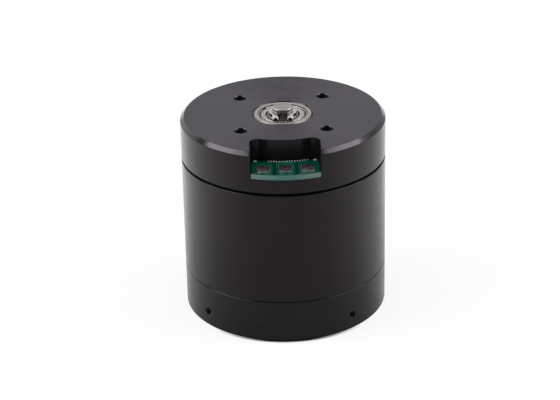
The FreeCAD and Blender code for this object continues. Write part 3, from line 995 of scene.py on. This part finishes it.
def black_finish(name, dark, light, rough, grit, marks, specular=0.33, turned=0.6):
    """Black coat with fine grain, uneven gloss, dust and turned tool marks."""
    tree = Surface(
        name, Specular_IOR_Level=specular, Specular_Tint=coat_tint, Anisotropic=turned,
        Anisotropic_Rotation=0.25, Sheen_Weight=0.03, Sheen_Roughness=0.4)
    if turned:
        tree.finish(Tangent=tree.add("Tangent", direction_type="RADIAL", axis="Z")["Tangent"])
    place = tree.place()
    cloud = tree.noise(place, size=9.0, detail=4.0)
    grain = tree.noise(place, size=0.12, detail=2.0)
    lines = tree.noise(tree.turned(place, along=1.5), size=0.18, detail=2.0)
    color = tree.mixed(tree.ranged(cloud, 0, 1, 0.35, 0.65), dark, light)
    color = tree.mixed(tree.times(dust_specks(tree, place), speck_cover), color, speck_color)
    gloss = tree.ranged(tree.noise(place, size=3.0), rough - 0.03, rough + 0.04, 0.3, 0.7)
    normal = tree.bump(grain, depth=0.004, strength=grit)
    normal = tree.bump(lines, depth=0.004, strength=marks, Normal=normal)
    return tree.finish(Base_Color=color, Roughness=gloss, Normal=normal)


def ground_steel(name, dark, light, rough, marks, size=0.09):
    """Bright steel with fine marks that run round it and a faint stain."""
    tree = Surface(name, Metallic=1.0)
    place = tree.place()
    lines = tree.noise(tree.turned(place, along=0.8), size)
    cloud = tree.noise(place, size=1.8, detail=4.0)
    color = tree.mixed(tree.ranged(cloud, 0, 1, 0.3, 0.7), dark, light)
    gloss = tree.ranged(lines, rough - 0.07, rough + 0.09, 0.3, 0.7)
    normal = tree.bump(lines, depth=0.008, strength=marks)
    return tree.finish(Base_Color=color, Roughness=gloss, Normal=normal)


def solder(name):
    """Dull tin with a lumpy skin and darker flux stains."""
    tree = Surface(name, Metallic=1.0)
    place = tree.place()
    stain = tree.noise(place, size=0.9, detail=4.0, roughness=0.65)
    color = tree.mixed(tree.ranged(stain, 0, 1, 0.42, 0.6), (0.09, 0.07, 0.08), (0.36, 0.33, 0.35))
    gloss = tree.ranged(stain, 0.5, 0.26, 0.4, 0.65)
    normal = tree.bump(tree.noise(place, size=0.16), depth=0.03, strength=0.5)
    return tree.finish(Base_Color=color, Roughness=gloss, Normal=normal)


def bright_tin(name):
    """Clean, frosted tin on wire ends."""
    tree = Surface(name, Metallic=0.2)
    frost = tree.noise(tree.place(), size=0.12)
    color = tree.mixed(frost, (0.72, 0.71, 0.7), (0.88, 0.87, 0.86))
    normal = tree.bump(frost, depth=0.02, strength=0.4)
    return tree.finish(Base_Color=color, Roughness=tree.ranged(frost, 0.25, 0.45), Normal=normal)


def solder_mask(name, dark, light):
    """Glossy green lacquer with the weave of the board faintly under it."""
    tree = Surface(name, Roughness=0.16, Specular_IOR_Level=0.25, Coat_Weight=0.1, Coat_Roughness=0.1)
    place = tree.place()
    parts = tree.parts(tree.add("Mapping", {"Vector": place, "Rotation": (0, 0, weave_turn)})["Vector"])
    weave = tree.times(*[tree.ranged(tree.wave(parts[axis], weave_pitch), 0, 1, -1, 1) for axis in "XY"])
    shade = tree.math("ADD", tree.times(weave, 0.25), tree.noise(place, size=1.2, detail=4.0))
    color = tree.mixed(tree.ranged(shade, 0, 1, 0.35, 0.85), dark, light)
    return tree.finish(Base_Color=color, Normal=tree.bump(weave, depth=0.01, strength=0.25))


def board_edge(name):
    """Sawn edge of the board: pale layers of glass cloth in resin, paler towards the sides."""
    tree = Surface(name, Roughness=0.55)
    place = tree.place()
    layers = tree.noise(tree.add("Mapping", {"Vector": place, "Scale": (0.5, 0.5, 6.0)})["Vector"], size=0.6)
    dust = tree.noise(place, size=0.25)
    across = tree.math("ABSOLUTE", tree.parts(place)["X"])
    color = tree.mixed(tree.ranged(layers, 0, 1, 0.3, 0.7), (0.035, 0.18, 0.14), (0.085, 0.25, 0.2))
    color = tree.mixed(tree.ranged(across, 0, 0.6, 2.0, half_board), color, (0.24, 0.27, 0.27))
    color = tree.mixed(tree.ranged(dust, 0, 0.5, 0.5, 0.75), color, (0.33, 0.4, 0.37))
    return tree.finish(Base_Color=color, Normal=tree.bump(dust, depth=0.03, strength=0.5))


def wound_copper(name):
    """Enamelled wire: rows of turns round each tooth under a thin varnish."""
    tree = Surface(name, Metallic=1.0, Coat_Weight=0.6, Coat_Roughness=0.15)
    place = tree.place()
    turns = tree.ranged(tree.wave(tree.length(tree.flat(place)), wire_pitch), 0, 1, -1, 1)
    cloud = tree.noise(place, size=2.0)
    # Darker between the turns: painted shade in the creases, with a random tone over it.
    shade = tree.times(tree.ranged(turns, 0.35, 1.0), tree.ranged(cloud, 0.7, 1.0, 0.3, 0.7))
    color = tree.mixed(shade, (0.16, 0.045, 0.015), (0.62, 0.25, 0.1))
    normal = tree.bump(turns, depth=0.12, strength=0.8)
    return tree.finish(Base_Color=color, Roughness=tree.ranged(cloud, 0.25, 0.4), Normal=normal)


def laminations(name):
    """Stack of thin sheets with a grey coating."""
    tree = Surface(name, Metallic=0.8)
    place = tree.place()
    sheets = tree.ranged(tree.wave(tree.parts(place)["Z"], sheet_pitch), 0, 1, -0.4, 0.4)
    cloud = tree.noise(place, size=1.5, detail=4.0)
    color = tree.mixed(tree.times(sheets, cloud), (0.08, 0.08, 0.085), (0.4, 0.4, 0.41))
    normal = tree.bump(sheets, depth=0.03, strength=0.6)
    return tree.finish(Base_Color=color, Roughness=tree.ranged(cloud, 0.35, 0.55), Normal=normal)


def moulded(name, dark, light, rough):
    """Moulded plastic with a fine spark grain."""
    tree = Surface(name, Specular_IOR_Level=0.4)
    place = tree.place()
    grain = tree.noise(place, size=0.15, detail=2.0)
    color = tree.mixed(tree.noise(place, size=3.0), dark, light)
    gloss = tree.ranged(grain, rough - 0.08, rough + 0.08)
    return tree.finish(Base_Color=color, Roughness=gloss, Normal=tree.bump(grain, depth=0.02, strength=0.4))


# Values that the materials use
coat_tint = (1, 0.9, 0.98)
speck_spacing = 2.6
speck_radius = 0.045
speck_rarity = 0.93
speck_cover = 0.6
speck_color = (0.2, 0.2, 0.2)
weave_turn = radians(2)
weave_pitch = 0.5
wire_pitch = 0.55
sheet_pitch = 0.35

# Black coats: dark and light colour, roughness, grit, tool marks, then specular and turned where not usual
COATS = {
    "black_anodise": ((0.0064, 0.0054, 0.0068), (0.0084, 0.0071, 0.0088), 0.24, 0.08, 0.06),
    "black_bell_coat": ((0.0076, 0.0085, 0.0094), (0.0096, 0.0104, 0.0114), 0.24, 0.08, 0.06, 0.31),
    # The top face's coat is lighter than the wall's: painted light on the top, with a purple tint of its own.
    "black_anodised_face": ((0.0135, 0.0112, 0.0205), (0.0165, 0.0138, 0.0235), 0.32, 0.16, 0.03, 0.46, 0.9),
    "black_anodised_cut": ((0.0064, 0.0054, 0.0068), (0.0084, 0.0071, 0.0088), 0.16, 0.0, 0.05, 0.5, 0.0),
    # The hole coat is darker than the wall's: painted shade inside the holes.
    "black_anodised_hole": ((0.002, 0.0017, 0.0021), (0.003, 0.0026, 0.0031), 0.5, 0.0, 0.05, 0.1, 0.0),
    "black_can_coat": ((0.0072, 0.0056, 0.0055), (0.0092, 0.0074, 0.0072), 0.25, 0.03, 0.06),
}

# Steels: dark and light colour, roughness, depth of the marks, then their size where not usual
STEELS = {
    "ring_steel": ((0.35, 0.329, 0.32), (0.43, 0.409, 0.396), 0.36, 0.25),
    # Near-black steel: painted shade on the shields' sunk rims and on the clip's edges and lug ends.
    "turned_steel": ((0.05, 0.047, 0.046), (0.08, 0.076, 0.074), 0.4, 0.3),
    # Darker corner steel: partly unground steel, partly painted shade of the gap round the ring.
    "corner_steel": ((0.15, 0.142, 0.138), (0.19, 0.181, 0.175), 0.32, 0.1),
    # Darker bore steel: painted shade in the bearing's gaps and on the inner ring.
    "bore_steel": ((0.19, 0.178, 0.173), (0.25, 0.236, 0.23), 0.35, 0.25),
    "clip_steel": ((0.52, 0.49, 0.474), (0.6, 0.57, 0.55), 0.32, 0.2),
    "shaft_steel": ((0.5, 0.47, 0.448), (0.57, 0.54, 0.518), 0.28, 0.1),
    "shaft_end_steel": ((0.3, 0.269, 0.265), (0.39, 0.358, 0.354), 0.34, 0.3),
    "shield_sheet": ((0.42, 0.392, 0.383), (0.49, 0.462, 0.449), 0.28, 0.15, 0.2),
    "spring_steel": ((0.36, 0.34, 0.33), (0.46, 0.44, 0.425), 0.3, 0.2),
    "snap_wire_steel": ((0.5, 0.475, 0.458), (0.58, 0.555, 0.534), 0.25, 0.1),
    "magnet_nickel": ((0.5, 0.48, 0.45), (0.62, 0.6, 0.56), 0.28, 0.1, 0.4),
    "ball_steel": ((0.6, 0.6, 0.6), (0.7, 0.7, 0.7), 0.12, 0.02, 0.6),
}

# Green masks: dark and light colour
MASKS = {
    "green_mask": ((0.0008, 0.028, 0.019), (0.0018, 0.049, 0.034)),
    "green_mask_on_copper": ((0.002, 0.07, 0.042), (0.005, 0.13, 0.078)),
    "thin_green_mask": ((0.02, 0.13, 0.085), (0.07, 0.22, 0.165)),
    "green_mask_at_edge": ((0.006, 0.105, 0.066), (0.02, 0.165, 0.112)),
}

# Plastics: dark and light colour, roughness
PLASTICS = {
    "liner_plastic": ((0.03, 0.03, 0.032), (0.05, 0.05, 0.05), 0.5),
    "cage_plastic": ((0.03, 0.028, 0.026), (0.05, 0.047, 0.043), 0.45),
}

# Materials that have a function to themselves
SINGLE = {
    "tinned_solder": solder, "clean_tin": bright_tin, "board_edge": board_edge,
    "enamelled_wire": wound_copper, "core_laminations": laminations,
}

# Pieces: title, function, body, slot and materials. A bearing's titles follow the name of its side.
STATOR_PIECES = (
    ("stator_base", stator_base, "stator", "anodised_aluminium",
     "black_anodise", "black_anodised_face", "black_anodised_cut", "black_anodised_hole"),
    ("terminal_board", terminal_board, "stator", "board", "green_mask", "board_edge", "green_mask_at_edge"),
    ("copper_pours", copper_pours, "stator", "board", "green_mask_on_copper"),
    ("pad_rims", pad_rims, "stator", "board", "thin_green_mask"),
    ("phase_pads", phase_pads, "stator", "tin", "tinned_solder"),
    ("board_pins", board_pins, "stator", "tin", "clean_tin"),
    ("phase_leads", phase_leads, "stator", "tin", "clean_tin"),
)
BEARING_PIECES = (
    ("_bearing_outer_ring", outer_ring, "stator", "bearing_steel",
     "ring_steel", "corner_steel", "bore_steel"),
    ("_bearing_inner_ring", inner_ring, "rotor", "bearing_steel", "bore_steel"),
    ("_bearing_shields", shields, "stator", "shield_steel", "shield_sheet", "turned_steel"),
    ("_bearing_snap_rings", snap_rings, "stator", "spring_steel", "snap_wire_steel"),
)
ROTOR_PIECES = (
    ("rotor_can", rotor_can, "rotor", "blackened_steel", "black_can_coat"),
    ("end_bell", end_bell, "rotor", "anodised_aluminium", "black_bell_coat"),
    ("shaft", shaft, "rotor", "shaft_steel", "shaft_steel", "shaft_end_steel"),
    ("circlip", circlip, "rotor", "spring_steel", "clip_steel", "turned_steel"),
)

# Solids that stay as they are, by material
DRESSED = {
    "core_laminations": ("stator_core",),
    "liner_plastic": ("upper_insulator", "lower_insulator"),
    "enamelled_wire": ("coils_phase_u", "coils_phase_v", "coils_phase_w"),
    "magnet_nickel": ("magnets",),
    "spring_steel": ("preload_spring",),
    "ball_steel": ("upper_bearing_balls", "lower_bearing_balls"),
    "cage_plastic": ("upper_bearing_cage", "lower_bearing_cage"),
}


def make_materials():
    """All materials of the part, by name."""
    looks = {name: make(name) for name, make in SINGLE.items()}
    tables = ((black_finish, COATS), (ground_steel, STEELS), (solder_mask, MASKS), (moulded, PLASTICS))
    for make, table in tables:
        looks.update({name: make(name, *values) for name, values in table.items()})
    return looks


def build(pieces, looks, *side):
    """Makes the pieces of a table, for one side where they belong to a bearing."""
    for title, make, body, slot, *names in pieces:
        bm = bmesh.new()
        make(bm, *side)
        finish_piece(bm, "".join(side) + title, body, [looks[name] for name in names])


def build_pieces():
    looks = make_materials()
    build(STATOR_PIECES, looks)
    for side in SIDES:
        build(BEARING_PIECES, looks, side)
    build(ROTOR_PIECES, looks)
    for name, nodes in DRESSED.items():
        for node in nodes:
            mesh = frame["nodes"][node].data
            mesh.materials.clear()
            mesh.materials.append(looks[name])


# Stage: floor, light and camera

floor_half = 6.0
floor_drop = 0.00002
floor_colour = 0.93
floor_shadow = 0.3
floor_glow = 0.8
floor_front = (0.4, 1.06, -0.95, -0.1)
floor_back = (1, 1.3, 0.3, 0.9)
floor_turn = radians(-15)
floor_near = (0.68, 1.1, 0.035, 0.1)
contact_reach = 0.0014
contact_samples = 8
contact_open = (0, 1, 0.6, 0.9)
contact_front = (-0.98, -0.7)
world_for_shade = 0.45
backdrop_reach = (0.34, 0.41)
backdrop_top = (0.8, 0.95)
backdrop_rise = (0.43, 0.62)
backdrop_foot = (1.24, 0.62, -0.6, -0.4)
backdrop_head = 1.5
backdrop_turn = radians(7)
room_reach = (-0.8, -0.5)
room_front = 0.08
room_side = 0.25
softbox_distance = 0.9
softbox_height = 0.25
softbox_radiance = {"left": 5.6, "right": 4.9}
softbox_fade = (0.45, 1, 0, 0.5)
softbox_ends = {
    "left": ((-0.453, -0.331, 0.824), (-0.785, 0.215, 0.581)),
    "right": ((0.505, -0.29, 0.813), (0.795, 0.205, 0.571)),
}
camera_lens = 120.74
camera_near = 0.01
camera_distance = 564.376 * MM
camera_elevation = radians(28.1926)
camera_roll = radians(1.0855)
camera_pan = radians(-0.1306)
camera_tilt = radians(-2.823)
camera_turn = radians(-1.2637)


def grey(value):
    return (value, value, value)


def seen_or_mirrored(tree):
    """1 for what the camera sees, also in gloss or glass, and 0 for light on matt surfaces."""
    path = tree.add("LightPath")
    seen = tree.math("MAXIMUM", path["Is Camera Ray"], path["Is Glossy Ray"])
    return tree.math("MAXIMUM", seen, path["Is Transmission Ray"])


def behind(tree, way, turn=0.0):
    """From -1 in front of the object to 1 behind it, for a way or a place, with the studio turned right."""
    level = tree.vector_math("NORMALIZE", tree.flat(way))["Vector"]
    return tree.vector_math("DOT_PRODUCT", level, (sin(turn), cos(turn), 0))["Value"]


def contact_light(tree, place):
    """From 0 on the floor close in front of the foot, where the object keeps the light off, to 1: a painted
    contact shadow from ambient occlusion, kept to the front.
    """
    sky = tree.add("AmbientOcclusion", {"Distance": contact_reach}, samples=contact_samples)["AO"]
    return tree.ranged(behind(tree, place), tree.ranged(sky, *contact_open), 1, *contact_front)


def floor_material():
    """White where it is seen, with a soft shadow, and dimmer in gloss in front and near the foot."""
    tree = Surface("pale_floor", Roughness=0.9, Specular_IOR_Level=0.0, Emission_Color=grey(1))
    seen = seen_or_mirrored(tree)
    place = tree.add("TexCoord")["Object"]
    dim = tree.ranged(behind(tree, place), *floor_front)
    # Painted shade: in reflections the floor is dimmer near the foot.
    dim = tree.times(dim, tree.ranged(tree.length(place), *floor_near))
    dim = tree.times(dim, tree.ranged(behind(tree, place, floor_turn), *floor_back))
    lit = contact_light(tree, place)
    mirrored = tree.ranged(tree.add("LightPath")["Is Glossy Ray"], 1, dim)
    glow = tree.times(tree.times(seen, lit), tree.times(mirrored, floor_glow))
    shade = tree.mixed(lit, grey(0), grey(floor_shadow))
    return tree.finish(Base_Color=tree.mixed(seen, grey(floor_colour), shade), Emission_Strength=glow)


def make_floor():
    mesh = bpy.data.meshes.new("floor")
    corners = [(x * floor_half, y * floor_half, -floor_drop) for x, y in ((-1, -1), (1, -1), (1, 1), (-1, 1))]
    mesh.from_pydata(corners, [], [(0, 1, 2, 3)])
    mesh.materials.append(floor_material())
    floor = added("floor", mesh)


def make_world():
    """A white backdrop behind the object in a dimmer room. Straight to the camera all of it is white."""
    world = bpy.data.worlds.new("studio")
    world.use_nodes = True
    bpy.context.scene.world = world
    tree = ShaderTree(world.node_tree)
    way = tree.add("TexCoord")["Generated"]
    place = behind(tree, way, backdrop_turn)
    parts = tree.parts(way)
    rise = parts["Z"]
    room = tree.ranged(place, room_front, room_side, *room_reach)
    backdrop = tree.times(tree.ranged(place, 0, 1, *backdrop_reach), tree.ranged(rise, 1, 0, *backdrop_top))
    foot = tree.ranged(parts["X"], *backdrop_foot)
    mirrored = tree.ranged(backdrop, room, tree.ranged(rise, foot, backdrop_head, *backdrop_rise))
    strength = tree.ranged(seen_or_mirrored(tree), world_for_shade, mirrored)
    strength = tree.math("MAXIMUM", strength, tree.add("LightPath")["Is Camera Ray"])
    tree.set("Background", Color=grey(1), Strength=strength)


def make_softboxes():
    """Two softboxes, given by the ways from the object's top to their ends, dimmer at the near ends."""
    target = Vector((0, 0, z_top * MM))
    for side, ends in softbox_ends.items():
        first, last = [Vector(end).normalized() for end in ends]
        back = (first + last).normalized()
        along = (last - first).normalized()
        light = bpy.data.lights.new("softbox_" + side, "AREA")
        light.shape = "RECTANGLE"
        light.size = 2 * softbox_distance * tan(first.angle(last) / 2)
        light.size_y = softbox_height
        light.energy = pi * softbox_radiance[side] * light.size * light.size_y
        light.use_nodes = True
        tree = ShaderTree(light.node_tree)
        along_box = tree.parts(tree.add("NewGeometry")["Parametric"])["X"]
        tree.set("Emission", Strength=tree.ranged(along_box, *softbox_fade))
        turn = Matrix((along, back.cross(along), back)).transposed().to_4x4()
        added(light.name, light).matrix_world = Matrix.Translation(target + back * softbox_distance) @ turn


def make_camera():
    camera = bpy.data.cameras.new("camera")
    camera.lens = camera_lens
    camera.clip_start = camera_near
    back = Vector((0, -cos(camera_elevation), sin(camera_elevation)))
    place = Matrix.Rotation(camera_turn, 4, "Z") @ Matrix.Translation(back * camera_distance)
    turns = Matrix.Rotation(pi / 2 - camera_elevation, 4, "X")
    for angle, axis in ((camera_pan, "Y"), (camera_tilt, "X"), (camera_roll, "Z")):
        turns = turns @ Matrix.Rotation(-angle, 4, axis)
    eye = added("camera", camera)
    eye.matrix_world = place @ turns
    bpy.context.scene.camera = eye


build_pieces()
make_floor()
make_world()
make_softboxes()
make_camera()
bpy.context.scene.view_settings.view_transform = "Standard"
